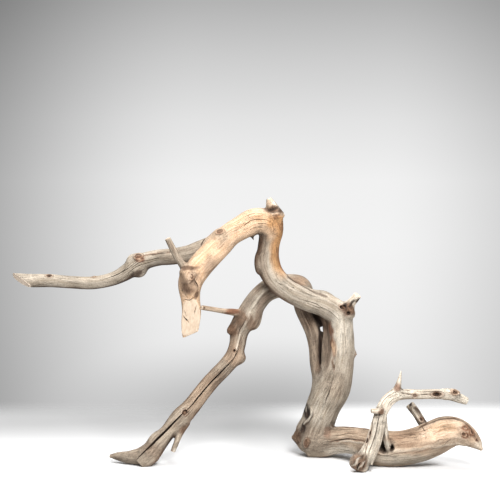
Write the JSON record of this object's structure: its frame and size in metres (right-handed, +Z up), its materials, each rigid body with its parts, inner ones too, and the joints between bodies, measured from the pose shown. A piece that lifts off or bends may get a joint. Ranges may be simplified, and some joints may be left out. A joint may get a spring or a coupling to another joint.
{
  "type": "manzanita driftwood",
  "caption": "Weathered driftwood branch arching over root feet, with a long side branch, cut stubs and a pale forked shoot; stands free as shelf or tank decor.",
  "frame": {"origin": "bottom centre of the bounding box, on the surface that the piece stands on", "axes": "+X along the long side, away from the cut side branch and towards the big root's beak; +Y away from the viewer of the display side; +Z up"},
  "size_m": [0.6143, 0.1467, 0.3521],
  "materials": {
    "driftwood_wood": "bare weathered wood, matte, grey-beige to orange-tan"
  },
  "bodies": {
    "root": {"driftwood": "driftwood_wood"}
  },
  "joints": []
}
